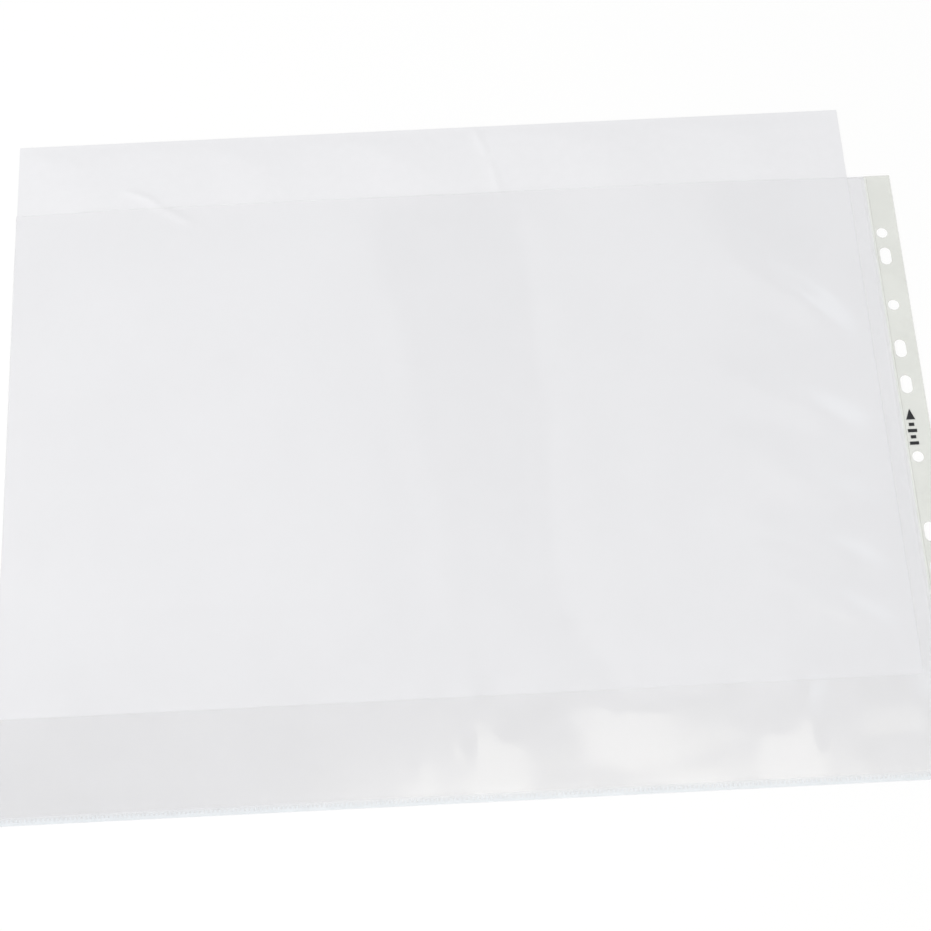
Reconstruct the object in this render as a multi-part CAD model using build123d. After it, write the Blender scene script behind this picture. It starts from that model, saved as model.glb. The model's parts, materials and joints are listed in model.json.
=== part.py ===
from build123d import *
import os

# A3 landscape punched pocket of clear film, lying flat, with a sheet of paper part-way out of its mouth.
# Millimetres. X runs along the mouth towards the punched strip, Y runs out of the mouth, Z is up.
# The origin is the centre of the whole footprint, on the table.

# Insert sheet
sheet_width = 420.0
sheet_height = 297.0
sheet_thickness = 0.1
sheet_pulled_out = 44.8

# Film panels and the room between them
film_thickness = 0.1
sheet_clearance = 0.1
fold_side_gap = 0.3
binding_room = 6.85
foot_clearance = 0.5
mouth_cover = 5.0

# Welded seams
bottom_weld_height = 2.5
serration_depth = 1.0
serration_pitch = 2.0
serration_share = 0.5
binding_weld_width = 2.1
weld_bead_radius = 0.2
film_setback = 0.5

# Punched strip
strip_width = 12.0
hinge_gap = 0.5
hole_diameter = 5.5
hole_edge_distance = 8.2
slot_length = 9.5
round_hole_offsets = (0.0, 80.0, 120.0)
slot_offsets = (37.5, 56.5, 107.0)

# Heights of the stack: back film, air, sheet, air, front film
pocket_gap = sheet_thickness + 2 * sheet_clearance
stack_height = pocket_gap + 2 * film_thickness
mid_height = stack_height / 2

# Places across the width, from the outside of the left fold
fold_radius = mid_height
fold_inner_radius = pocket_gap / 2
sheet_left = fold_radius + fold_side_gap
weld_left = sheet_left + sheet_width + binding_room
hinge_line = weld_left + binding_weld_width
film_right = hinge_line - film_setback
strip_left = hinge_line + hinge_gap
pocket_width = strip_left + strip_width
hole_line = pocket_width - hole_edge_distance

# Places up the height, from the lower edge of the pocket
sheet_foot_inserted = bottom_weld_height + foot_clearance
sheet_foot = sheet_foot_inserted + sheet_pulled_out
pocket_height = sheet_foot_inserted + sheet_height + mouth_cover
footprint_height = max(pocket_height, sheet_foot + sheet_height)

# The origin, measured from the pocket's lower left corner
origin_x = pocket_width / 2
origin_y = footprint_height / 2


def plate(left, right, foot, head, low, high):
    """A flat plate between two places on each axis."""
    corner = Pos(left - origin_x, foot - origin_y, low)
    size = Box(right - left, head - foot, high - low, align=(Align.MIN, Align.MIN, Align.MIN))
    return corner * size


# The two clear panels, one above the other
back_film = plate(fold_radius, film_right, 0, pocket_height, 0, film_thickness)
front_film = plate(fold_radius, film_right, 0, pocket_height, stack_height - film_thickness, stack_height)

# The left fold: half a thin tube that turns the back panel over into the front panel
fold_section = Circle(fold_radius) - Circle(fold_inner_radius)
fold_section &= Pos(-fold_radius, 0) * Rectangle(2 * fold_radius, 4 * fold_radius)
fold_plane = Plane(origin=(fold_radius - origin_x, -origin_y, mid_height), x_dir=(1, 0, 0), z_dir=(0, 1, 0))
left_fold = extrude(fold_plane * fold_section, pocket_height)

# The bottom weld: a band between the panels whose inner side is a row of square teeth
weld_length = weld_left - fold_radius
tooth_count = int(weld_length / serration_pitch)
tooth_width = serration_pitch * serration_share
first_tooth = (weld_length - tooth_count * serration_pitch + serration_pitch - tooth_width) / 2
tooth_root = bottom_weld_height - serration_depth
weld_outline = [(0, tooth_root), (0, 0), (weld_length, 0), (weld_length, tooth_root)]
for tooth in reversed(range(tooth_count)):
    tooth_left = first_tooth + tooth * serration_pitch
    tooth_right = tooth_left + tooth_width
    weld_outline.append((tooth_right, tooth_root))
    weld_outline.append((tooth_right, bottom_weld_height))
    weld_outline.append((tooth_left, bottom_weld_height))
    weld_outline.append((tooth_left, tooth_root))
weld_face = make_face(Polyline(*weld_outline, close=True))
weld_corner = Pos(fold_radius - origin_x, -origin_y, film_thickness)
bottom_weld = weld_corner * extrude(weld_face, pocket_gap)

# The binding weld: a bar between the panels that ends in the bead on the strip's bending line
weld_bar = plate(weld_left, hinge_line, 0, pocket_height, film_thickness, film_thickness + pocket_gap)
bead_plane = Plane(origin=(hinge_line - origin_x, -origin_y, mid_height), x_dir=(1, 0, 0), z_dir=(0, 1, 0))
weld_bead = extrude(bead_plane * Circle(weld_bead_radius), pocket_height)
binding_weld = weld_bar + weld_bead

# The punched strip: as thick as the closed pocket, with ring holes placed about the middle of its height
hole_radius = hole_diameter / 2
strip_blank = plate(strip_left, pocket_width, 0, pocket_height, 0, stack_height)
round_places = sorted({side * offset for offset in round_hole_offsets for side in (-1, 1)})
slot_places = [side * offset for offset in slot_offsets for side in (-1, 1)]
strip_middle = Pos(hole_line - origin_x, pocket_height / 2 - origin_y, 0)
punch_face = Sketch() + [Pos(0, place) * Circle(hole_radius) for place in round_places]
punch_face += [Pos(0, place) * SlotOverall(slot_length, hole_diameter, rotation=90) for place in slot_places]
punches = strip_middle * extrude(punch_face, stack_height)
binding_strip = strip_blank - punches

# The sheet, part-way out of the mouth
sheet_low = film_thickness + sheet_clearance
insert_sheet = plate(
    sheet_left,
    sheet_left + sheet_width,
    sheet_foot,
    sheet_foot + sheet_height,
    sheet_low,
    sheet_low + sheet_thickness,
)

nodes = {
    "back_film": back_film,
    "front_film": front_film,
    "left_fold": left_fold,
    "bottom_weld": bottom_weld,
    "binding_weld": binding_weld,
    "binding_strip": binding_strip,
    "insert_sheet": insert_sheet,
}

os.makedirs("parts", exist_ok=True)
for name, shape in nodes.items():
    shape.label = name
    export_step(shape, f"parts/{name}.step")
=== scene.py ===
"""Clear A3 punched pocket with a sheet of paper part-way out of its mouth, dressed over its CAD frame."""
import json
import math

import bpy
import numpy as np
from bpy.props import FloatProperty, FloatVectorProperty, PointerProperty
from bpy.types import Operator, Panel, PropertyGroup
from mathutils import Matrix, Vector


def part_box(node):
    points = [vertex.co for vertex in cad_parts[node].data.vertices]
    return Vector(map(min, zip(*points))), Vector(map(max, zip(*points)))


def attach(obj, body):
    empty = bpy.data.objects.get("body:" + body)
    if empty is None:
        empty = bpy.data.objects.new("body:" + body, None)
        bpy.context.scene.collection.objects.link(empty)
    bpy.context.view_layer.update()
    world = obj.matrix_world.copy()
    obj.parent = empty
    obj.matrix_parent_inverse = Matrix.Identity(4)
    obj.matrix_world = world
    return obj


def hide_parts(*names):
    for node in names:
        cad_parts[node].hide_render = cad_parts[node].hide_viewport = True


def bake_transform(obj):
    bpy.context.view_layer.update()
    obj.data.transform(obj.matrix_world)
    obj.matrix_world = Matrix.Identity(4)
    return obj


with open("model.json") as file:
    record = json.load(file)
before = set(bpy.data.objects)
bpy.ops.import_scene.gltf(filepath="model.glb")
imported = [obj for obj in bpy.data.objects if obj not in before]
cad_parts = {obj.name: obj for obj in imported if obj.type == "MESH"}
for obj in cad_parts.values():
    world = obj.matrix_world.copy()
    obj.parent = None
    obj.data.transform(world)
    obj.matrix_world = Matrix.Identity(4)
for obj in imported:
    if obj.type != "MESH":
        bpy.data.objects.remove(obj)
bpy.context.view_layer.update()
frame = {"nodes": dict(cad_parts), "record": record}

bl_info = {
    "name": "Punched Pocket",
    "version": (1, 0, 0),
    "blender": (4, 5, 0),
    "location": "View3D > Sidebar > Pocket",
    "description": "Film panels, paper, welds and punched strip of a clear A3 pocket",
    "category": "Object",
}

MM = 0.001

# Boxes of the CAD nodes, in metres
FILM_LOW, FILM_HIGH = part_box("front_film")
BACK_LOW, BACK_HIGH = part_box("back_film")
FOLD_LOW, FOLD_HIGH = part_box("left_fold")
SHEET_LOW, SHEET_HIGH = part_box("insert_sheet")
STRIP_LOW, STRIP_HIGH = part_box("binding_strip")
FOOT_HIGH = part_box("bottom_weld")[1]
JOINTS = {joint["name"]: joint for joint in frame["record"]["behaviour"]["joints"]}
BEND = Vector(JOINTS["strip_fold"]["pos_m"])

# The pocket's lower left corner. Shapes are worked out in millimetres from here
CORNER = Vector((FOLD_LOW.x, FOLD_LOW.y, 0.0))
POCKET_HEIGHT = (FILM_HIGH.y - FILM_LOW.y) / MM
FILM_LEFT = (FILM_LOW.x - CORNER.x) / MM
FILM_RIGHT = (FILM_HIGH.x - CORNER.x) / MM
WELD_LEFT = (FOOT_HIGH.x - CORNER.x) / MM
FOOT_WELD = (FOOT_HIGH.y - CORNER.y) / MM
STRIP_LEFT = (STRIP_LOW.x - CORNER.x) / MM
STRIP_RIGHT = (STRIP_HIGH.x - CORNER.x) / MM
STRIP_TOP = STRIP_HIGH.z / MM
BEND_X = (BEND.x - CORNER.x) / MM

# Millimetres
A3_WIDTH, A3_HEIGHT = 420.0, 297.0
EMPTY_TOP = 52.0  # upper end of the empty foot's fine grid, just over the sheet's lower edge
CUT_SHADE_BAND = 1.2  # band of painted shade along the film's cut edge at the mouth
PRESSED_MARGIN = 3.6  # film along the foot that the weld has pressed
CUT_RUN, CUT_FALL = 0.5, 0.06  # rounding of the sheet's lower cut edge
WEB_HALF = 0.62  # half the width of the film across the bending line
WEB_THICKNESS = 0.015
CELL_RIM = 2.4  # plate between a ring hole and the end of its cell

# The turn of a wave in radians, and the last phase that is drawn for one
TURN, LAST_PHASE = 6.2832, 6.28
# Steps in which the slopes of the empty foot's facets are summed
FACET_STEPS = 40
# Faces along one side of the cell round a ring hole, and the places of its rings from the hole to the border
CELL_SIDE = 16
CELL_RINGS = (0.0, 0.04, 0.09, 0.16, 0.28, 0.48, 0.74, 1.0)

# Creases of the front film over the sheet: x0, y0, x1, y1, half width, height
LONG_RIDGES = (
    (246.0, 309.0, 259.0, 175.0, 9.0, 0.578),
    (257.0, 215.0, 262.0, 62.0, 10.0, 0.612),
    (259.0, 96.0, 292.0, 36.0, 11.0, 0.578),
    (172.0, 318.0, 205.0, 150.0, 15.0, 0.442),
    (200.0, 190.0, 222.0, 40.0, 15.0, 0.476),
    (300.0, 205.0, 318.0, 46.0, 16.0, 0.34),
    (92.0, 300.0, 104.0, 60.0, 26.0, 0.204),
    (34.0, 300.0, 40.0, 90.0, 16.0, 0.17),
)
FAN_CREASES = (
    (336.0, 268.0, 440.0, 202.0, 9.0, 1.10),
    (316.0, 207.0, 446.0, 162.0, 9.0, 1.10),
    (352.0, 154.0, 440.0, 124.0, 7.5, 0.78),
    (330.0, 130.0, 432.0, 88.0, 7.5, 0.82),
    (340.0, 97.0, 442.0, 62.0, 7.5, 0.76),
    (322.0, 176.0, 392.0, 150.0, 9.0, 0.24),
)
DRAW_LINES = (
    (6.0, 262.0, 176.0, 260.0, 2.6, 0.06),
    (6.0, 229.0, 190.0, 227.0, 2.6, 0.051),
    (6.0, 192.0, 240.0, 190.0, 2.8, 0.06),
    (6.0, 169.0, 200.0, 168.0, 2.6, 0.048),
    (6.0, 133.0, 210.0, 131.0, 2.8, 0.06),
    (6.0, 97.0, 190.0, 96.0, 2.6, 0.051),
)
# Soft swells of the empty foot of the pocket, below the sheet: x, y, half width, half length, turn, height
FOOT_SWELLS = (
    (110.0, 34.0, 60.0, 18.0, 0.00, 0.10),
    (24.0, 28.0, 14.0, 20.0, 0.30, 0.14),
)
# Tilted facets of the empty foot: x, y, half width, half length, turn, slope
FOOT_TILTS = (
    (300.0, 24.0, 122.0, 22.0, 0.00, 0.012),
    (226.0, 13.0, 12.0, 11.0, 0.10, 0.038),
    (216.0, 29.0, 9.0, 9.0, 0.20, 0.043),
    (192.0, 10.0, 3.0, 6.0, -0.10, 0.038),
    (290.0, 24.0, 13.0, 12.0, 0.05, 0.055),
    (272.0, 30.0, 9.0, 14.0, 0.50, 0.041),
    (313.0, 5.0, 11.0, 3.0, 0.00, 0.038),
    (318.0, 29.0, 16.0, 11.0, 0.25, 0.023),
    (357.0, 12.0, 13.0, 9.0, -0.20, 0.043),
    (366.0, 22.0, 8.0, 9.0, -0.40, 0.032),
    (404.0, 28.0, 16.0, 7.0, 0.05, 0.026),
    (404.0, 11.0, 14.0, 8.0, 0.10, -0.017),
    (262.0, 8.0, 22.0, 4.0, 0.00, -0.017),
)
# Creases of the paper, from the sheet's lower left corner: x0, y0, x1, y1, half width, height
PAPER_CREASES = (
    (231.0, 299.0, 240.0, 276.0, 1.7, 0.30),
    (239.0, 279.0, 246.5, 252.0, 1.7, 0.32),
    (52.0, 271.0, 67.0, 263.0, 1.9, 0.34),
    (62.0, 267.0, 73.0, 257.0, 1.9, 0.38),
    (69.0, 259.0, 92.0, 247.0, 1.9, 0.36),
    (302.0, 297.0, 301.0, 252.0, 1.4, 0.08),
)
# Scallops along the bare head of the sheet: middle and half width in millimetres, share of the full height
HEAD_SCALLOPS = (
    (29.0, 27.0, 0.55),
    (122.0, 26.0, 0.80),
    (202.0, 36.0, 1.00),
    (298.0, 34.0, 0.60),
    (372.0, 26.0, 0.45),
)

# Lamps that face straight down for the film to mirror: name, place and size in metres, share of power, colour
GLOSS_LAMPS = (
    ("left_panel", (-0.69, 1.08, 2.0), (1.18, 1.26), 0.52, (1.0, 1.0, 1.0)),
    ("right_panel", (0.40, 1.03, 2.0), (0.34, 1.36), 0.15, (1.0, 1.0, 1.0)),
    ("foot_panel", (0.35, -0.16, 2.0), (1.10, 0.52), 0.76, (1.0, 0.98, 0.87)),
    ("fan_panel", (1.22, 0.85, 2.0), (0.58, 1.10), 0.55, (0.84, 0.94, 1.0)),
)
KEY_PLACE, KEY_SIZE = (-2.32, -1.58, 2.40), (1.8, 1.8)


def ease(t):
    """Smooth step 3t^2 - 2t^3 from 0 to 1."""
    t = np.clip(t, 0.0, 1.0)
    return t * t * (3.0 - 2.0 * t)


def creases(x, y, table):
    """Sum of rounded ridges. A ridge is height * exp(-(d / width)^2) across its line, where d is the distance
    from the line, which swings a little to either side. It eases to nothing over a third at both ends."""
    total = np.zeros_like(x)
    for number, (x0, y0, x1, y1, width, height) in enumerate(table):
        run = math.hypot(x1 - x0, y1 - y0)
        along = ((x - x0) * (x1 - x0) + (y - y0) * (y1 - y0)) / run**2
        across = ((x - x0) * (y1 - y0) - (y - y0) * (x1 - x0)) / run
        across = across + 0.35 * width * np.sin(4.4 * along + 1.7 * number)
        crest = np.exp(-((across / width) ** 2))
        total += height * crest * ease(along / 0.35) * ease((1.0 - along) / 0.35)
    return total


def swells(x, y, table):
    """Sum of soft mounds height * exp(-(u / half width)^2 - (v / half length)^2), in turned axes u and v."""
    total = np.zeros_like(x)
    for x0, y0, wide, long, turn, height in table:
        u = (x - x0) * math.cos(turn) + (y - y0) * math.sin(turn)
        v = (y - y0) * math.cos(turn) - (x - x0) * math.sin(turn)
        total += height * np.exp(-((u / wide) ** 2) - (v / long) ** 2)
    return total


def tilts(x, y, table):
    """Crumpled facets: the running sum, from the foot weld up to y, of slope * S(u / half width) * S(v / half
    length), where S is a soft box in turned axes u and v. Its sides are soft over 12 mm near the weld and
    over more near the sheet, and its ends over 7 mm. The height eases away again over the sheet."""
    top = np.clip(y, FOOT_WELD, EMPTY_TOP)
    soft = 12.0 + 24.0 * ease((y - 26.0) / 40.0)
    total = np.zeros_like(x)
    for step in range(FACET_STEPS):
        at = FOOT_WELD + (top - FOOT_WELD) * (step + 0.5) / FACET_STEPS
        for x0, y0, wide, long, turn, slope in table:
            u = (x - x0) * math.cos(turn) + (at - y0) * math.sin(turn)
            v = (at - y0) * math.cos(turn) - (x - x0) * math.sin(turn)
            box = ease((wide - np.abs(u)) / soft + 0.5) * ease((long - np.abs(v)) / 7.0 + 0.5)
            total += slope * box * (top - FOOT_WELD) / FACET_STEPS
    return total * (1.0 - ease((y - 38.0) / 30.0))


def ripples(x, y, seed, shortest, longest, count):
    """Mean of sine waves with seeded directions and lengths between shortest and longest, from 0 to 1."""
    rng = np.random.default_rng(seed)
    headings = rng.uniform(0.0, math.pi, count)
    lengths = rng.uniform(shortest, longest, count)
    phases = rng.uniform(0.0, LAST_PHASE, count)
    total = np.zeros_like(x)
    for heading, length, phase in zip(headings, lengths, phases):
        total += np.sin((x * math.cos(heading) + y * math.sin(heading)) * TURN / length + phase)
    return 0.5 + 0.5 * total / count


def seam_window(x, y, reach=1.0):
    """0 on the left fold, the foot weld and 7 mm before the binding weld, easing to 1 inside the pocket over
    16, 9 and 34 mm times reach."""
    foot = ease((y - FOOT_WELD) / (9.0 * reach))
    return ease(x / (16.0 * reach)) * ease((WELD_LEFT - 7.0 - x) / (34.0 * reach)) * foot


def mouth_rise(x, y):
    """The front film's lip stands off the sheet: an eased rise that starts 78 mm below the mouth and takes
    70 mm, held down over 60 and 80 mm at the two corners."""
    return ease((y - POCKET_HEIGHT + 78.0) / 70.0) * ease(x / 60.0) * ease((WELD_LEFT - x) / 80.0)


def front_lift(x, y, film):
    """Height of the front film over its flat place, in millimetres: 0.22 of air, the lip, ridges, creases,
    swells and facets, and ripples 0.085 high."""
    crinkle = creases(x, y, LONG_RIDGES) + creases(x, y, FAN_CREASES) + creases(x, y, DRAW_LINES)
    crinkle = crinkle + swells(x, y, FOOT_SWELLS) + 0.085 * ripples(x, y, 11, 18.0, 46.0, 9)
    crinkle = seam_window(x, y) * crinkle + tilts(x, y, FOOT_TILTS)
    lift = 0.012 * ease(x / 2.0) + 0.22 * seam_window(x, y, 3.2) + film.crinkle * crinkle
    return lift + film.lip / MM * mouth_rise(x, y)


def back_lift(x, y):
    """Height of the back film over the table, in millimetres: short ripples 0.015 high."""
    return seam_window(x, y) * 0.015 * ripples(x, y, 21, 18.0, 52.0, 12)


def paper_lift(x, y, paper):
    """Height of the sheet over its flat place, in millimetres, from the sheet's lower left corner. The bare
    head rises and falls again to its straight upper edge, higher and over a longer way at the scallops. The
    part in the pocket only ripples a little. The sides and the upper edge settle by 0.08 onto the film."""
    sides = ease(x / 14.0) * ease((A3_WIDTH - x) / 40.0)
    scallop = sum(share * ease(1.0 - np.abs(x - middle) / half) for middle, half, share in HEAD_SCALLOPS)
    fall = 7.0 + 15.0 * scallop
    head = (0.2 + 0.8 * scallop) * ease((y - 246.0) / 26.0) * ease((A3_HEIGHT - y) / fall)
    inside = 0.06 * ease(y / 40.0) * ease((A3_HEIGHT - y) / 30.0) * ripples(x, y, 31, 40.0, 110.0, 7)
    settled = 1.0 - ease(x / 9.0) * ease((A3_WIDTH - x) / 9.0) * ease((A3_HEIGHT - y) / 9.0)
    return sides * (paper.scallop / MM * head + inside + creases(x, y, PAPER_CREASES)) - 0.08 * settled


def cut_bevel(y):
    """Fall of the sheet's upper face at the foot, straight down to the rounded cut edge."""
    return CUT_FALL * np.clip(1.0 - y / CUT_RUN, 0.0, 1.0)


def spans(*stops):
    """Grid lines over (start, end, step) spans, each divided evenly."""
    lines = [np.linspace(a, b, int(round((b - a) / step)) + 1)[:-1] for a, b, step in stops]
    return np.concatenate(lines + [np.array([stops[-1][1]])])


def placed(x, y, z):
    """Millimetres from the pocket's lower left corner to metres in the row frame."""
    return np.stack([CORNER.x + x * MM, CORNER.y + y * MM, z * MM + 0.0 * x], axis=-1)


def quads(grid):
    """Four-sided faces between the neighbours of a grid of point numbers."""
    return np.stack([grid[:-1, :-1], grid[:-1, 1:], grid[1:, 1:], grid[1:, :-1]], axis=-1).reshape(-1, 4)


def make_mesh(name, points, faces, smooth, edge=None):
    """A mesh object at the origin from whole arrays of points and four-sided faces. The sides of flat faces
    are sharp, and edge holds each point's share of the painted shade line along a cut edge."""
    mesh = bpy.data.meshes.new(name)
    points = np.ascontiguousarray(points.reshape(-1, 3), dtype=np.float32)
    faces = np.ascontiguousarray(faces, dtype=np.int32)
    mesh.vertices.add(len(points))
    mesh.vertices.foreach_set("co", points.ravel())
    mesh.loops.add(faces.size)
    mesh.loops.foreach_set("vertex_index", faces.ravel())
    mesh.polygons.add(len(faces))
    mesh.polygons.foreach_set("loop_start", np.arange(0, faces.size, 4, dtype=np.int32))
    mesh.polygons.foreach_set("use_smooth", np.ascontiguousarray(smooth, dtype=bool))
    mesh.update(calc_edges=True)
    sides = np.zeros(faces.size, dtype=np.int32)
    mesh.loops.foreach_get("edge_index", sides)
    sharp = np.zeros(len(mesh.edges), dtype=bool)
    sharp[sides.reshape(-1, 4)[np.asarray(smooth) < 0.5]] = True
    mesh.attributes.new("sharp_edge", "BOOLEAN", "EDGE").data.foreach_set("value", sharp)
    # Each point's share of the painted shade line along a cut edge
    if edge is not None:
        band = mesh.attributes.new("cut_edge", "FLOAT", "POINT")
        band.data.foreach_set("value", np.ascontiguousarray(edge.ravel(), dtype=np.float32))
    if mesh.validate():
        raise RuntimeError(f"{name}: the mesh had faces that are not valid")
    piece = bpy.data.objects.new(name, mesh)
    bpy.context.scene.collection.objects.link(piece)
    return piece


def closed_sheet(name, upper, lower, edge=None):
    """A closed thin sheet from an upper and a lower grid of points. Four rim strips join their borders."""
    rows, cols = upper.shape[:2]
    top = np.arange(rows * cols).reshape(rows, cols)
    low = top + rows * cols
    broad = [quads(top), quads(low[:, ::-1])]
    rim = [
        quads(np.stack([low[0], top[0]])),
        quads(np.stack([low[:, -1], top[:, -1]])),
        quads(np.stack([low[-1, ::-1], top[-1, ::-1]])),
        quads(np.stack([low[::-1, 0], top[::-1, 0]])),
    ]
    faces = np.concatenate(broad + rim)
    smooth = np.arange(len(faces)) < sum(len(part) for part in broad)
    points = np.concatenate([upper.reshape(-1, 3), lower.reshape(-1, 3)])
    if edge is not None:
        edge = np.concatenate([edge.ravel(), edge.ravel()])
    return make_mesh(name, points, faces, smooth, edge)


def node(tree, kind, x, y, **values):
    """A shader node at a place in the tree, with its named inputs set."""
    made = tree.nodes.new(kind)
    made.location = (x, y)
    for label, value in values.items():
        made.inputs[label.replace("_", " ")].default_value = value
    return made


def sum_of(tree, x, y, first, second, operation="ADD", clamp=False):
    """A Math node on two sockets or numbers."""
    made = tree.nodes.new("ShaderNodeMath")
    made.operation = operation
    made.use_clamp = clamp
    made.location = (x, y)
    for place, value in enumerate((first, second)):
        if isinstance(value, (int, float)):
            made.inputs[place].default_value = value
        else:
            tree.links.new(value, made.inputs[place])
    return made.outputs[0]


def span_of(tree, x, y, value, low, high, to_low=0.0, to_high=1.0):
    """A smooth Map Range node from low..high to to_low..to_high."""
    made = node(tree, "ShaderNodeMapRange", x, y, From_Min=low, From_Max=high, To_Min=to_low, To_Max=to_high)
    made.interpolation_type = "SMOOTHSTEP"
    tree.links.new(value, made.inputs["Value"])
    return made.outputs["Result"]


def film_wear():
    """Node group shared by all the plastic: cloudy haze, long fine scuffs and a shallow orange peel."""
    name = "film_wear"
    if name in bpy.data.node_groups:
        return bpy.data.node_groups[name]
    tree = bpy.data.node_groups.new(name, "ShaderNodeTree")
    tree.interface.new_socket("Vector", in_out="INPUT", socket_type="NodeSocketVector")
    cloud = tree.interface.new_socket("Cloud Scale", in_out="INPUT", socket_type="NodeSocketFloat")
    cloud.default_value = 26.0
    turn = tree.interface.new_socket("Scuff Turn", in_out="INPUT", socket_type="NodeSocketVector")
    turn.default_value = (0.0, 0.0, 0.4)
    tree.interface.new_socket("Haze", in_out="OUTPUT", socket_type="NodeSocketFloat")
    tree.interface.new_socket("Scuff", in_out="OUTPUT", socket_type="NodeSocketFloat")
    tree.interface.new_socket("Height", in_out="OUTPUT", socket_type="NodeSocketFloat")
    given = tree.nodes.new("NodeGroupInput")
    given.location = (-900, 0)
    result = tree.nodes.new("NodeGroupOutput")
    result.location = (500, 0)

    clouds = node(tree, "ShaderNodeTexNoise", -600, 250, Detail=5.0, Roughness=0.62)
    tree.links.new(given.outputs["Vector"], clouds.inputs["Vector"])
    tree.links.new(given.outputs["Cloud Scale"], clouds.inputs["Scale"])
    haze = span_of(tree, -380, 250, clouds.outputs["Fac"], 0.36, 0.66)
    tree.links.new(haze, result.inputs["Haze"])

    swing = node(tree, "ShaderNodeMapping", -640, -60, Scale=(26.0, 950.0, 60.0))
    tree.links.new(given.outputs["Vector"], swing.inputs["Vector"])
    tree.links.new(given.outputs["Scuff Turn"], swing.inputs["Rotation"])
    lines = node(tree, "ShaderNodeTexNoise", -430, -60, Scale=1.0, Detail=2.0, Roughness=0.5)
    tree.links.new(swing.outputs["Vector"], lines.inputs["Vector"])
    scuff = span_of(tree, -220, -60, lines.outputs["Fac"], 0.66, 0.76)
    worn = sum_of(tree, 0, -60, scuff, haze, "MULTIPLY")
    tree.links.new(worn, result.inputs["Scuff"])

    peel = node(tree, "ShaderNodeTexNoise", -430, -360, Scale=110.0, Detail=2.0, Roughness=0.4)
    tree.links.new(given.outputs["Vector"], peel.inputs["Vector"])
    tree.links.new(peel.outputs["Fac"], result.inputs["Height"])
    return tree


def plastic(name, tint, dimming, alpha, haze_share, rough, ior, edge_shade_share=0.0, cloud=26.0, bump=0.05):
    """A see-through plastic. Alpha, tint and roughness vary with the shared wear. Along a cut edge the cover
    rises, which paints a darker line of shade where the edge would catch less light.
    """
    material = bpy.data.materials.new(name)
    material.use_nodes = True
    tree = material.node_tree
    shader = tree.nodes["Principled BSDF"]
    shader.inputs["IOR"].default_value = ior
    shader.inputs["Specular IOR Level"].default_value = 1.0
    place = tree.nodes.new("ShaderNodeTexCoord")
    place.location = (-1200, 0)
    wear = tree.nodes.new("ShaderNodeGroup")
    wear.node_tree = film_wear()
    wear.location = (-960, 0)
    wear.inputs["Cloud Scale"].default_value = cloud
    tree.links.new(place.outputs["Object"], wear.inputs["Vector"])

    colour = node(tree, "ShaderNodeMix", -500, 300)
    colour.data_type = "RGBA"
    colour.inputs["A"].default_value = (*tint, 1.0)
    colour.inputs["B"].default_value = (*[dimming * part for part in tint], 1.0)
    tree.links.new(wear.outputs["Haze"], colour.inputs["Factor"])
    tree.links.new(colour.outputs["Result"], shader.inputs["Base Color"])

    cloudy = sum_of(tree, -700, 60, wear.outputs["Haze"], 2.0 * haze_share, "MULTIPLY")
    cloudy = sum_of(tree, -520, 60, cloudy, alpha - haze_share, "ADD")
    worn = sum_of(tree, -700, -110, wear.outputs["Scuff"], 0.5 * haze_share, "MULTIPLY")
    cover = sum_of(tree, -340, 40, cloudy, worn, "ADD", clamp=True)
    # Painted shade: more cover along the cut edge darkens it into a line, standing in for an edge that
    # catches less light
    if edge_shade_share:
        band = tree.nodes.new("ShaderNodeAttribute")
        band.attribute_name = "cut_edge"
        band.location = (-700, -280)
        edge_shade = sum_of(tree, -500, -280, band.outputs["Fac"], edge_shade_share, "MULTIPLY")
        cover = sum_of(tree, -180, 20, cover, edge_shade, "ADD", clamp=True)
    tree.links.new(cover, shader.inputs["Alpha"])

    dull = sum_of(tree, -700, -420, wear.outputs["Scuff"], 0.03, "MULTIPLY")
    dull = sum_of(tree, -520, -420, dull, rough, "ADD")
    tree.links.new(dull, shader.inputs["Roughness"])
    relief = node(tree, "ShaderNodeBump", -340, -560, Strength=bump, Distance=0.0002)
    tree.links.new(wear.outputs["Height"], relief.inputs["Height"])
    tree.links.new(relief.outputs["Normal"], shader.inputs["Normal"])
    return material


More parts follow.
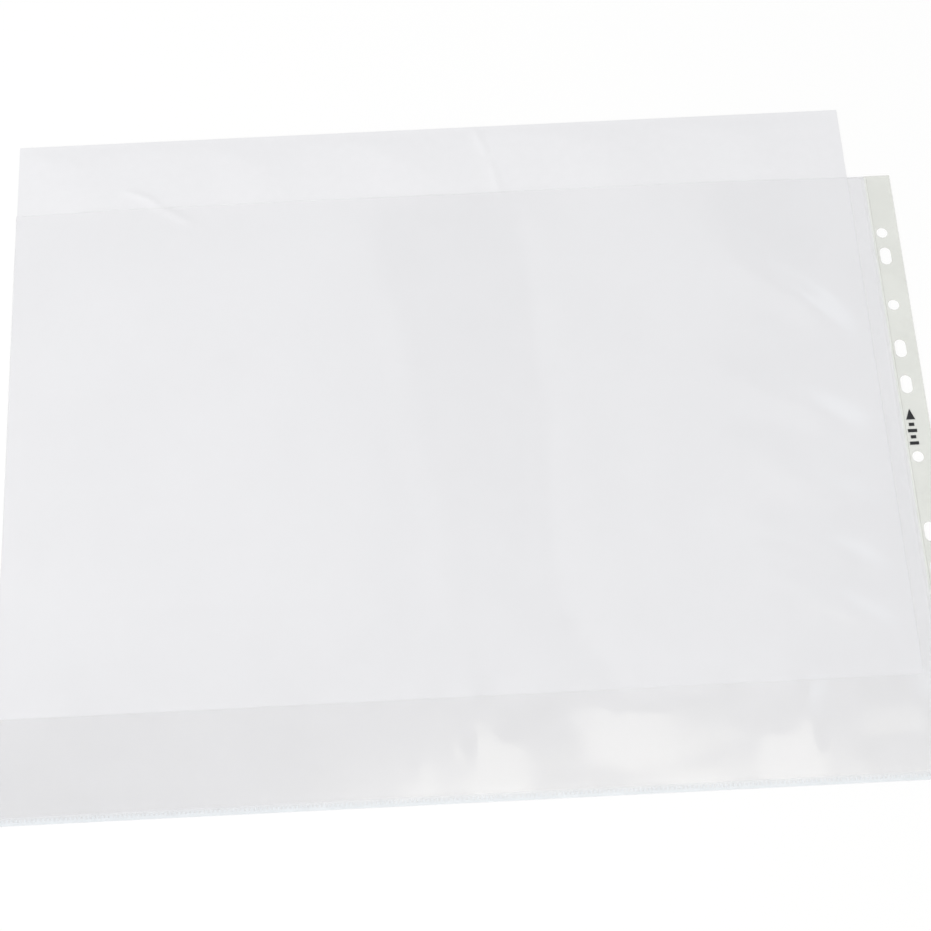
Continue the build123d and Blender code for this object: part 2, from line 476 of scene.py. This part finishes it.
def white_paper(paper):
    """Uncoated white paper: cloudy formation, short fibres, and a finely grained surface."""
    material = bpy.data.materials.new("white_paper")
    material.use_nodes = True
    tree = material.node_tree
    shader = tree.nodes["Principled BSDF"]
    shader.inputs["Specular IOR Level"].default_value = 0.2
    place = tree.nodes.new("ShaderNodeTexCoord")
    place.location = (-1200, 0)
    clouds = node(tree, "ShaderNodeTexNoise", -900, 300, Scale=190.0, Detail=4.0, Roughness=0.6)
    broad = node(tree, "ShaderNodeTexNoise", -900, 80, Scale=9.0, Detail=3.0, Roughness=0.5)
    stretch = node(tree, "ShaderNodeMapping", -1000, -180,
                   Scale=(900.0, 2600.0, 900.0), Rotation=(0.0, 0.0, 0.5))
    fibres = node(tree, "ShaderNodeTexNoise", -800, -180, Scale=1.0, Detail=3.0, Roughness=0.6)
    for source in (clouds, broad, stretch):
        tree.links.new(place.outputs["Object"], source.inputs["Vector"])
    tree.links.new(stretch.outputs["Vector"], fibres.inputs["Vector"])
    shade = sum_of(tree, -640, 260, clouds.outputs["Fac"], 0.5, "MULTIPLY")
    shade = sum_of(tree, -480, 220, shade, sum_of(tree, -640, 80, broad.outputs["Fac"], 0.5, "MULTIPLY"))
    shade = span_of(tree, -320, 220, shade, 0.3, 0.7)
    colour = node(tree, "ShaderNodeMix", -140, 240)
    colour.data_type = "RGBA"
    colour.inputs["A"].default_value = (*[0.988 * part for part in paper.colour], 1.0)
    colour.inputs["B"].default_value = (*[min(1.0, 1.008 * part) for part in paper.colour], 1.0)
    tree.links.new(shade, colour.inputs["Factor"])
    tree.links.new(colour.outputs["Result"], shader.inputs["Base Color"])
    dull = span_of(tree, -320, -40, fibres.outputs["Fac"], 0.2, 0.8, 0.82, 0.95)
    tree.links.new(dull, shader.inputs["Roughness"])
    relief = node(tree, "ShaderNodeBump", -140, -200, Strength=0.12, Distance=0.00008)
    tree.links.new(fibres.outputs["Fac"], relief.inputs["Height"])
    tree.links.new(relief.outputs["Normal"], shader.inputs["Normal"])
    return material


def printed_ink(strip):
    """Dark print on plastic: a little patchy, and matt where the ink lies thick."""
    material = bpy.data.materials.new("printed_ink")
    material.use_nodes = True
    tree = material.node_tree
    shader = tree.nodes["Principled BSDF"]
    place = tree.nodes.new("ShaderNodeTexCoord")
    place.location = (-900, 0)
    patch = node(tree, "ShaderNodeTexNoise", -680, 0, Scale=1500.0, Detail=4.0, Roughness=0.6)
    tree.links.new(place.outputs["Object"], patch.inputs["Vector"])
    colour = node(tree, "ShaderNodeMix", -300, 160)
    colour.data_type = "RGBA"
    colour.inputs["A"].default_value = (*strip.ink, 1.0)
    colour.inputs["B"].default_value = (*[min(1.0, 2.2 * part) for part in strip.ink], 1.0)
    tree.links.new(span_of(tree, -480, 160, patch.outputs["Fac"], 0.35, 0.75), colour.inputs["Factor"])
    tree.links.new(colour.outputs["Result"], shader.inputs["Base Color"])
    dull = span_of(tree, -300, -60, patch.outputs["Fac"], 0.2, 0.8, 0.35, 0.6)
    tree.links.new(dull, shader.inputs["Roughness"])
    relief = node(tree, "ShaderNodeBump", -300, -260, Strength=0.1, Distance=0.00005)
    tree.links.new(patch.outputs["Fac"], relief.inputs["Height"])
    tree.links.new(relief.outputs["Normal"], shader.inputs["Normal"])
    return material


def dress(piece, material):
    """Gives a piece one material in place of those that it has."""
    piece.data.materials.clear()
    piece.data.materials.append(material)


class PaperSettings(PropertyGroup):
    colour: FloatVectorProperty(
        name="Paper Colour", description="Colour of the insert sheet", subtype="COLOR", size=3,
        default=(0.853, 0.8525, 0.8755), min=0.0, max=1.0,
    )
    scallop: FloatProperty(
        name="Head Scallop", description="How far the bare head of the sheet lifts in its waves",
        subtype="DISTANCE", unit="LENGTH", default=0.0010, min=0.0, max=0.002,
    )


class FilmSettings(PropertyGroup):
    crinkle: FloatProperty(
        name="Crinkle", description="Scale of the creases in the front film", subtype="FACTOR",
        default=1.0, min=0.0, max=2.0,
    )
    lip: FloatProperty(
        name="Mouth Lip", description="How far the front film stands off the sheet at the mouth",
        subtype="DISTANCE", unit="LENGTH", default=0.0018, min=0.0, max=0.004,
    )
    tint: FloatVectorProperty(
        name="Front Tint", description="Milky colour of the front film", subtype="COLOR", size=3,
        default=(0.82, 0.82, 0.83), min=0.0, max=1.0,
    )
    # Painted shade: the back film's dark bluish tint and heavy cover stand in for the shade of the table
    # under the pocket; the film itself is as clear as the front one
    back_shade_tint: FloatVectorProperty(
        name="Back Tint", description="Colour of the back film on the table", subtype="COLOR", size=3,
        default=(0.345, 0.338, 0.44), min=0.0, max=1.0,
    )
    cover: FloatProperty(
        name="Film Cover", description="How much one face of the film hides what lies under it",
        subtype="FACTOR", default=0.05, min=0.0, max=1.0,
    )
    back_shade_cover: FloatProperty(
        name="Back Film Cover", description="How much one face of the back film hides the table",
        subtype="FACTOR", default=0.152, min=0.0, max=1.0,
    )
    weld_tint: FloatVectorProperty(
        name="Weld Tint", description="Colour of the welded seams", subtype="COLOR", size=3,
        default=(0.945, 0.972, 1.0), min=0.0, max=1.0,
    )


class StripSettings(PropertyGroup):
    tint: FloatVectorProperty(
        name="Strip Tint", description="Colour of the punched strip", subtype="COLOR", size=3,
        default=(0.695, 0.712, 0.644), min=0.0, max=1.0,
    )
    cover: FloatProperty(
        name="Strip Cover", description="How much one face of the strip hides the table", subtype="FACTOR",
        default=0.30, min=0.0, max=1.0,
    )
    burr: FloatProperty(
        name="Punch Burr", description="Height of the rim that the punch leaves around each hole",
        subtype="DISTANCE", unit="LENGTH", default=0.00004, min=0.0, max=0.0005,
    )
    ink: FloatVectorProperty(
        name="Ink Colour", description="Colour of the printed insertion mark", subtype="COLOR", size=3,
        default=(0.008, 0.008, 0.010), min=0.0, max=1.0,
    )


class StageSettings(PropertyGroup):
    eye: FloatVectorProperty(
        name="Camera Place", description="Where the camera stands", subtype="TRANSLATION", unit="LENGTH",
        size=3, default=(-0.0238, -0.2960, 0.7489),
    )
    heading: FloatProperty(
        name="Camera Heading", description="Turn of the view about the upright", subtype="ANGLE",
        default=math.radians(-1.53),
    )
    dip: FloatProperty(
        name="Camera Dip", description="How far the view looks down", subtype="ANGLE",
        default=math.radians(69.25),
    )
    roll: FloatProperty(
        name="Camera Roll", description="Turn of the camera about its view", subtype="ANGLE",
        default=math.radians(-1.37),
    )
    focal: FloatProperty(
        name="Focal Length", description="Lens on a 36 mm wide sensor", subtype="DISTANCE_CAMERA",
        default=65.16,
    )
    shift: FloatProperty(
        name="Lens Shift", description="Sideways shift of the lens, in frame widths", default=0.0322,
    )
    floor: FloatVectorProperty(
        name="Floor Colour", description="Colour of the floor where it lights the object", subtype="COLOR",
        size=3, default=(0.84, 0.84, 0.84), min=0.0, max=1.0,
    )
    sky: FloatProperty(
        name="Sky Level", description="Brightness of the light from overhead", default=0.45, min=0.0, max=2.0,
    )
    key: FloatProperty(
        name="Key Light", description="Power of the main soft light", subtype="POWER", unit="POWER",
        default=74.5,
    )
    gloss: FloatProperty(
        name="Gloss Lights", description="Power of the soft lights that the film mirrors", subtype="POWER",
        unit="POWER", default=4.8,
    )


class POCKET_OT_stage(Operator):
    """Floor, sky, soft lights and the camera"""

    bl_idname = "pocket.stage"
    bl_label = "Stage"

    def execute(self, context):
        stage = context.scene.pocket_stage
        self.camera(context, stage)
        self.floor(stage)
        self.sky(context, stage)
        self.lamp("key_light", KEY_PLACE, KEY_SIZE, stage.key, aimed=True)
        for name, place, size, share, colour in GLOSS_LAMPS:
            self.lamp(name, place, size, share * stage.gloss, colour)
        context.scene.view_settings.view_transform = "Standard"
        # Clear pieces lie over each other, and a ray crosses two faces of each
        context.scene.cycles.transparent_max_bounces = 40
        return {"FINISHED"}

    def camera(self, context, stage):
        """The camera looks along heading and dip: level is across the view, and roll turns level and up."""
        look = Vector((
            -math.sin(stage.heading) * math.cos(stage.dip),
            math.cos(stage.heading) * math.cos(stage.dip),
            -math.sin(stage.dip),
        ))
        level = look.cross(Vector((0.0, 0.0, 1.0))).normalized()
        rise = level.cross(look)
        right = math.cos(stage.roll) * level + math.sin(stage.roll) * rise
        up = -math.sin(stage.roll) * level + math.cos(stage.roll) * rise
        lens = bpy.data.cameras.new("camera")
        lens.sensor_width = 36.0
        lens.lens = stage.focal
        lens.shift_x = stage.shift
        lens.clip_start = 0.01
        camera = bpy.data.objects.new("camera", lens)
        turn = Matrix((right, up, -look)).transposed()
        camera.matrix_world = Matrix.Translation(Vector(stage.eye)) @ turn.to_4x4()
        context.scene.collection.objects.link(camera)
        context.scene.camera = camera

    def floor(self, stage):
        """A flat floor, 8 m wide and just under the object. It takes the object's shadow near the middle and
        turns plain white further out."""
        along = np.linspace(-4.0, 4.0, 9)
        x, y = np.meshgrid(along, along)
        points = np.stack([x, y, np.full_like(x, -0.00002)], axis=-1)
        grid = np.arange(x.size).reshape(x.shape)
        faces = quads(grid)
        floor = make_mesh("floor", points, faces, np.zeros(len(faces)))
        material = bpy.data.materials.new("pale_floor")
        material.use_nodes = True
        tree = material.node_tree
        shader = tree.nodes["Principled BSDF"]
        shader.inputs["Specular IOR Level"].default_value = 0.0
        place = tree.nodes.new("ShaderNodeTexCoord")
        place.location = (-1100, 0)
        grain = node(tree, "ShaderNodeTexNoise", -900, -200, Scale=60.0, Detail=4.0)
        tree.links.new(place.outputs["Object"], grain.inputs["Vector"])
        dull = span_of(tree, -600, -200, grain.outputs["Fac"], 0.0, 1.0, 0.85, 0.95)
        tree.links.new(dull, shader.inputs["Roughness"])
        ray = tree.nodes.new("ShaderNodeLightPath")
        ray.location = (-1100, 500)
        seen = sum_of(tree, -880, 480, ray.outputs["Is Camera Ray"], ray.outputs["Is Glossy Ray"], "MAXIMUM")
        seen = sum_of(tree, -700, 480, seen, ray.outputs["Is Transmission Ray"], "MAXIMUM")
        colour = node(tree, "ShaderNodeMix", -480, 300)
        colour.data_type = "RGBA"
        colour.inputs["A"].default_value = (*stage.floor, 1.0)
        colour.inputs["B"].default_value = (1.0, 1.0, 1.0, 1.0)
        tree.links.new(seen, colour.inputs["Factor"])
        tree.links.new(colour.outputs["Result"], shader.inputs["Base Color"])
        reach = node(tree, "ShaderNodeVectorMath", -900, 160)
        reach.operation = "LENGTH"
        tree.links.new(place.outputs["Object"], reach.inputs[0])
        out = span_of(tree, -700, 160, reach.outputs["Value"], 0.30, 0.60, 0.65, 1.0)
        plain = sum_of(tree, -480, 60, out, seen, "MULTIPLY")
        white = node(tree, "ShaderNodeEmission", -200, -200, Color=(1.0, 1.0, 1.0, 1.0), Strength=1.0)
        both = tree.nodes.new("ShaderNodeMixShader")
        both.location = (80, 100)
        tree.links.new(plain, both.inputs["Fac"])
        tree.links.new(shader.outputs["BSDF"], both.inputs[1])
        tree.links.new(white.outputs["Emission"], both.inputs[2])
        end = tree.nodes["Material Output"]
        tree.links.new(both.outputs["Shader"], end.inputs["Surface"])
        dress(floor, material)

    def sky(self, context, stage):
        """A sky that is white at the horizon and dimmer overhead."""
        world = bpy.data.worlds.new("soft_sky")
        world.use_nodes = True
        tree = world.node_tree
        ground = tree.nodes["Background"]
        place = tree.nodes.new("ShaderNodeTexCoord")
        place.location = (-900, 0)
        parts = tree.nodes.new("ShaderNodeSeparateXYZ")
        parts.location = (-700, 0)
        tree.links.new(place.outputs["Generated"], parts.inputs["Vector"])
        level = span_of(tree, -480, 0, parts.outputs["Z"], 0.12, 0.60, 1.0, stage.sky)
        tint = node(tree, "ShaderNodeCombineColor", -240, 0)
        for part in ("Red", "Green", "Blue"):
            tree.links.new(level, tint.inputs[part])
        tree.links.new(tint.outputs["Color"], ground.inputs["Color"])
        context.scene.world = world

    def lamp(self, name, place, size, power, colour=(1.0, 1.0, 1.0), aimed=False):
        """A soft rectangular lamp that faces straight down, or the middle of the floor where it is aimed."""
        data = bpy.data.lights.new(name, "AREA")
        data.shape = "RECTANGLE"
        data.size, data.size_y = size
        data.energy = power
        data.color = colour
        lamp = bpy.data.objects.new(name, data)
        lamp.location = place
        if aimed:
            lamp.rotation_euler = Vector(place).to_track_quat("Z", "Y").to_euler()
        lamp.visible_camera = False
        bpy.context.scene.collection.objects.link(lamp)


class POCKET_OT_paper(Operator):
    """The white sheet, waved at its bare head"""

    bl_idname = "pocket.paper"
    bl_label = "Insert Sheet"

    def execute(self, context):
        paper = context.scene.pocket_paper
        width = (SHEET_HIGH.x - SHEET_LOW.x) / MM
        height = (SHEET_HIGH.y - SHEET_LOW.y) / MM
        fine = 232.0
        x, y = np.meshgrid(
            spans((0.0, width, 1.6)), spans((0.0, CUT_RUN, 0.5), (CUT_RUN, fine, 2.6), (fine, height, 0.9))
        )
        lift = paper_lift(x, y, paper)
        left = (SHEET_LOW.x - CORNER.x) / MM
        foot = (SHEET_LOW.y - CORNER.y) / MM
        upper = placed(x + left, y + foot, SHEET_HIGH.z / MM + lift - cut_bevel(y))
        lower = placed(x + left, y + foot, SHEET_LOW.z / MM + lift)
        sheet = closed_sheet("paper_sheet", upper, lower)
        dress(sheet, white_paper(paper))
        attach(sheet, "sheet")
        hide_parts("insert_sheet")
        return {"FINISHED"}


class POCKET_OT_films(Operator):
    """The back film, the crinkled front film and the fold that joins them on the left"""

    bl_idname = "pocket.films"
    bl_label = "Film Panels"

    def execute(self, context):
        film = context.scene.pocket_film
        # The cut edges of both films take a painted line of shade through edge_shade_share
        clear = plastic("clear_film", film.tint, 0.96, alpha=film.cover, haze_share=0.004, rough=0.14,
                        ior=3.0, edge_shade_share=0.03, cloud=14.0, bump=0.006)
        # The back film is see-through plastic with a painted shade of the table under it in its tint and
        # cover
        table_film = plastic("table_film", film.back_shade_tint, 0.96, alpha=film.back_shade_cover, haze_share=0.004,
                             rough=0.16, ior=3.0, edge_shade_share=0.04, cloud=14.0, bump=0.006)
        margin = plastic("pressed_margin", film.weld_tint, 0.97, alpha=0.165, haze_share=0.01, rough=0.2,
                         ior=1.6, cloud=60.0, bump=0.02)
        self.back(table_film)
        self.front(clear, margin, film)
        self.fold(clear)
        return {"FINISHED"}

    def edge_shade_band(self, x, y):
        """Share of the painted shade line: 1 on the cut edge at the mouth, falling straight to 0 over its
        band.
        """
        return np.clip(1.0 - (POCKET_HEIGHT - y) / CUT_SHADE_BAND, 0.0, 1.0) + 0.0 * x

    def back(self, material):
        """A rippled sheet on the table: z = ripples, and the same plus almost the film's thickness."""
        band = POCKET_HEIGHT - CUT_SHADE_BAND
        x, y = np.meshgrid(
            spans((FILM_LEFT, FILM_RIGHT, 2.1)), spans((0.0, band, 2.1), (band, POCKET_HEIGHT, 0.6))
        )
        lift = back_lift(x, y)
        upper = placed(x, y, BACK_HIGH.z / MM - 0.012 + lift)
        lower = placed(x, y, BACK_LOW.z / MM + lift)
        panel = closed_sheet("back_film_panel", upper, lower, self.edge_shade_band(x, y))
        dress(panel, material)
        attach(panel, "pocket")
        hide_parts("back_film")

    def front(self, material, margin, film):
        """The film over the sheet: z = flat place + front_lift, and the same less the film's thickness. The
        grid is finer on the creased right side, at the empty foot and at the mouth. The faces along the foot
        that the weld has pressed have their own finish."""
        creased, band = 180.0, POCKET_HEIGHT - CUT_SHADE_BAND
        x, y = np.meshgrid(
            spans((FILM_LEFT, creased, 2.8), (creased, FILM_RIGHT, 1.3)),
            spans((0.0, EMPTY_TOP, 1.2), (EMPTY_TOP, band, 2.0), (band, POCKET_HEIGHT, 0.6)),
        )
        lift = front_lift(x, y, film)
        upper = placed(x, y, FILM_HIGH.z / MM + lift)
        lower = placed(x, y, FILM_LOW.z / MM + lift)
        panel = closed_sheet("front_film_panel", upper, lower, self.edge_shade_band(x, y))
        dress(panel, material)
        panel.data.materials.append(margin)
        centres = np.zeros(3 * len(panel.data.polygons), dtype=np.float32)
        panel.data.polygons.foreach_get("center", centres)
        pressed = (centres[1::3] - CORNER.y) / MM < PRESSED_MARGIN
        panel.data.polygons.foreach_set("material_index", pressed.astype(np.int32))
        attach(panel, "pocket")
        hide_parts("front_film")

    def fold(self, material):
        """Half a thin tube along the left edge: an arc from the back film round to the front film."""
        outer = (FOLD_HIGH.z - FOLD_LOW.z) / MM / 2.0
        inner = outer - (FILM_HIGH.z - FILM_LOW.z) / MM
        turn, y = np.meshgrid(np.linspace(1.5 * math.pi, 0.5 * math.pi, 15), spans((0.0, POCKET_HEIGHT, 6.1)))
        upper = placed(outer + outer * np.cos(turn), y, outer + outer * np.sin(turn))
        lower = placed(outer + inner * np.cos(turn), y, outer + inner * np.sin(turn))
        # The whole fold takes 0.45 of the painted shade of a cut edge, a darker line of shade along the left
        # edge
        fold = closed_sheet("left_fold_edge", upper, lower, 0.45 + 0.0 * turn)
        dress(fold, material)
        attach(fold, "pocket")
        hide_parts("left_fold")


class POCKET_OT_welds(Operator):
    """Finish of the two welded seams, whose CAD shapes stay"""

    bl_idname = "pocket.welds"
    bl_label = "Welds"

    def execute(self, context):
        film = context.scene.pocket_film
        pressed = plastic("pressed_weld", film.weld_tint, 0.97, alpha=0.92, haze_share=0.04, rough=0.25,
                          ior=1.6, cloud=180.0, bump=0.12)
        line = plastic("weld_line", (0.90, 0.90, 0.89), 0.933, alpha=0.06, haze_share=0.006, rough=0.2,
                       ior=1.6, cloud=120.0)
        dress(frame["nodes"]["bottom_weld"], pressed)
        dress(frame["nodes"]["binding_weld"], line)
        return {"FINISHED"}


class POCKET_OT_strip(Operator):
    """The punched strip, the film across the bending line beside it, and a plain printed mark"""

    bl_idname = "pocket.strip"
    bl_label = "Punched Strip"

    def execute(self, context):
        strip = context.scene.pocket_strip
        plate = plastic("green_strip", strip.tint, 0.97, alpha=strip.cover, haze_share=0.012, rough=0.28,
                        ior=1.5, cloud=45.0, bump=0.03)
        web = plastic("hinge_film", strip.tint, 0.95, alpha=0.28, haze_share=0.02, rough=0.2, ior=2.0)
        self.plate(plate, strip)
        self.web(web)
        self.mark(printed_ink(strip))
        return {"FINISHED"}

    def holes(self):
        """Ring holes from the record's mounts: place up the strip, and half the straight length of a slot."""
        found = []
        for mount in frame["record"]["mounts"]:
            place = (mount["pos_m"][1] - CORNER.y) / MM
            if mount["kind"] == "bore":
                found.append((place, 0.0))
            elif mount["kind"] == "bolt_pattern":
                reach = mount["dims"]["spacing_y_mm"] / 2.0
                core = mount["dims"]["slot_length_mm"] / 2.0 - mount["dims"]["hole_r_mm"]
                found += [(place - reach, core), (place + reach, core)]
        return sorted(found)

    def plate(self, material, strip):
        """A plate made of a cell round each hole and plain lengths between. In a cell, each point lies
        between the cell's border and the point at the hole's radius from the nearest place on the slot's core
        line. The burr is exp(-((d - 0.32) / 0.26)^2), where d is the distance from the hole's edge in
        millimetres."""
        bore = next(mount for mount in frame["record"]["mounts"] if mount["kind"] == "bore")
        radius = bore["dims"]["r_mm"]
        hole_x = (bore["pos_m"][0] - CORNER.x) / MM
        left, right, side = STRIP_LEFT, STRIP_RIGHT, CELL_SIDE
        across = np.linspace(left, right, side + 1)
        patches, walls, reached = [], [], 0.0
        for place, core in self.holes() + [(None, 0.0)]:
            border = POCKET_HEIGHT if place is None else place - core - radius - CELL_RIM
            rows = max(1, int(round((border - reached) / 3.0)))
            x, y = np.meshgrid(across, np.linspace(reached, border, rows + 1))
            patches.append((x, y, np.zeros_like(x)))
            if place is None:
                break
            reached = place + core + radius + CELL_RIM
            up = np.linspace(border, reached, side + 1)
            edge_x = np.concatenate([across, np.full(side, right), across[-2::-1], np.full(side, left)])
            edge_y = np.concatenate([np.full(side + 1, border), up[1:], np.full(side, reached), up[-2::-1]])
            core_y = np.clip(edge_y - place, -core, core)
            away_x = edge_x - hole_x
            away_y = edge_y - place - core_y
            far = np.hypot(away_x, away_y)
            share = np.array(CELL_RINGS)[:, None]
            out = radius + share * (far - radius)
            x = hole_x + away_x / far * out
            y = place + core_y + away_y / far * out
            rise = np.exp(-(((out - radius) - 0.32) / 0.26) ** 2) * (1.0 - share)
            patches.append((x, y, rise))
            walls.append((x[0], y[0], rise[0]))
        self.join(material, strip, patches, walls)

    def join(self, material, strip, patches, walls):
        """Upper and lower faces of the patches, the holes' walls and the rim, merged where they meet."""
        points, faces, smooth, count = [], [], [], 0
        for x, y, rise in patches:
            ring = x.shape[1] > CELL_SIDE + 1
            for z, turned in ((STRIP_TOP + strip.burr / MM * rise, ring), (0.0 * rise, not ring)):
                grid = count + np.arange(x.size).reshape(x.shape)
                points.append(placed(x, y, z).reshape(-1, 3))
                faces.append(quads(grid[:, ::-1] if turned else grid))
                smooth.append(np.ones(len(faces[-1])))
                count += x.size
        for x, y, rise in walls:
            steps = np.linspace(0.0, 1.0, 3)[:, None]
            grid = count + np.arange(3 * x.size).reshape(3, x.size)
            top = STRIP_TOP + strip.burr / MM * rise
            points.append(placed(x + 0.0 * steps, y + 0.0 * steps, steps * top).reshape(-1, 3))
            faces.append(quads(grid[::-1]))
            smooth.append(np.zeros(len(faces[-1])))
            count += grid.size
        side = slice(CELL_SIDE, 2 * CELL_SIDE + 1)
        borders = [y[:, -1] if y.shape[1] <= CELL_SIDE + 1 else y[-1][side] for _, y, _ in patches]
        marks = np.unique(np.concatenate(borders).round(5))
        heights = np.array([[0.0], [STRIP_TOP]])
        for x, line in ((STRIP_RIGHT, marks), (STRIP_LEFT, marks[::-1])):
            grid = count + np.arange(2 * line.size).reshape(2, line.size)
            points.append(placed(np.full((2, line.size), x), np.stack([line, line]),
                                 heights + 0.0 * line).reshape(-1, 3))
            faces.append(quads(grid))
            smooth.append(np.zeros(len(faces[-1])))
            count += grid.size
        across = patches[0][0][0]
        for y, line in ((0.0, across), (POCKET_HEIGHT, across[::-1])):
            grid = count + np.arange(2 * line.size).reshape(2, line.size)
            points.append(placed(np.stack([line, line]), np.full((2, line.size), y),
                                 heights + 0.0 * line).reshape(-1, 3))
            faces.append(quads(grid))
            smooth.append(np.zeros(len(faces[-1])))
            count += grid.size
        every = np.concatenate(points)
        # Points in the same cell of a grid are one. The grid is shifted off the round values
        unique, back = np.unique((every / 1e-6 + 0.37).round(), axis=0, return_inverse=True)
        kept = np.zeros((len(unique), 3))
        kept[back.ravel()] = every
        faces = back.ravel()[np.concatenate(faces)]
        plate = make_mesh("binding_strip_plate", kept, faces, np.concatenate(smooth))
        dress(plate, material)
        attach(plate, "strip")
        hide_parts("binding_strip")

    def web(self, material):
        """The film over the bead, a shallow groove: z falls by a half sine from the panel to the strip."""
        left = BEND_X - WEB_HALF
        right = BEND_X + WEB_HALF
        x, y = np.meshgrid(np.linspace(left, right, 13), spans((0.0, POCKET_HEIGHT, 6.1)))
        dip = 0.03 * np.sin((x - left) / (right - left) * math.pi)
        top = FILM_HIGH.z / MM - 0.004 - dip
        web = closed_sheet("strip_hinge_film", placed(x, y, top), placed(x, y, top - WEB_THICKNESS))
        dress(web, material)
        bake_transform(web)

    def mark(self, material):
        """A printed insertion mark beside the middle hole: an arrow towards the mouth, which is a band that
        narrows straight to 0.04 of its width, and four bars behind it, every second one shorter."""
        left = STRIP_LEFT + 0.9
        right = left + 4.4
        middle = (left + right) / 2.0
        half = 2.2
        foot = POCKET_HEIGHT / 2.0 + 6.0
        across, along = np.meshgrid(np.linspace(-1.0, 1.0, 9), np.linspace(0.0, 1.0, 9))
        shapes = [(middle + half * across * (1.0 - 0.96 * along), foot + 13.0 + 5.4 * along)]
        for place in range(4):
            shapes.append((middle + (half - 0.9 * (place % 2)) * across, foot + 3.2 * place + 1.7 * along))
        low, high = STRIP_TOP + 0.002, STRIP_TOP + 0.018
        for number, (x, y) in enumerate(shapes):
            piece = closed_sheet(f"insert_mark_{number}", placed(x, y, high), placed(x, y, low))
            dress(piece, material)
            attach(piece, "strip")


class POCKET_PT_panel(Panel):
    """Sizes, colours and the steps that build the pocket"""

    bl_idname = "POCKET_PT_panel"
    bl_label = "Punched Pocket"
    bl_space_type = "VIEW_3D"
    bl_region_type = "UI"
    bl_category = "Pocket"

    def draw(self, context):
        for group, step in STEPS:
            box = self.layout.box()
            settings = getattr(context.scene, group)
            for label in settings.__annotations__:
                box.prop(settings, label)
            box.operator(step.bl_idname)


GROUPS = {
    "pocket_stage": StageSettings,
    "pocket_paper": PaperSettings,
    "pocket_film": FilmSettings,
    "pocket_strip": StripSettings,
}
STEPS = (
    ("pocket_stage", POCKET_OT_stage),
    ("pocket_paper", POCKET_OT_paper),
    ("pocket_film", POCKET_OT_films),
    ("pocket_film", POCKET_OT_welds),
    ("pocket_strip", POCKET_OT_strip),
)


def register():
    for group, kind in GROUPS.items():
        bpy.utils.register_class(kind)
        setattr(bpy.types.Scene, group, PointerProperty(type=kind))
    for _, step in STEPS:
        bpy.utils.register_class(step)
    bpy.utils.register_class(POCKET_PT_panel)


def unregister():
    bpy.utils.unregister_class(POCKET_PT_panel)
    for _, step in reversed(STEPS):
        bpy.utils.unregister_class(step)
    for group, kind in reversed(GROUPS.items()):
        delattr(bpy.types.Scene, group)
        bpy.utils.unregister_class(kind)


def main():
    register()
    bpy.ops.pocket.stage()
    bpy.ops.pocket.paper()
    bpy.ops.pocket.films()
    bpy.ops.pocket.welds()
    bpy.ops.pocket.strip()


if __name__ == "__main__":
    main()
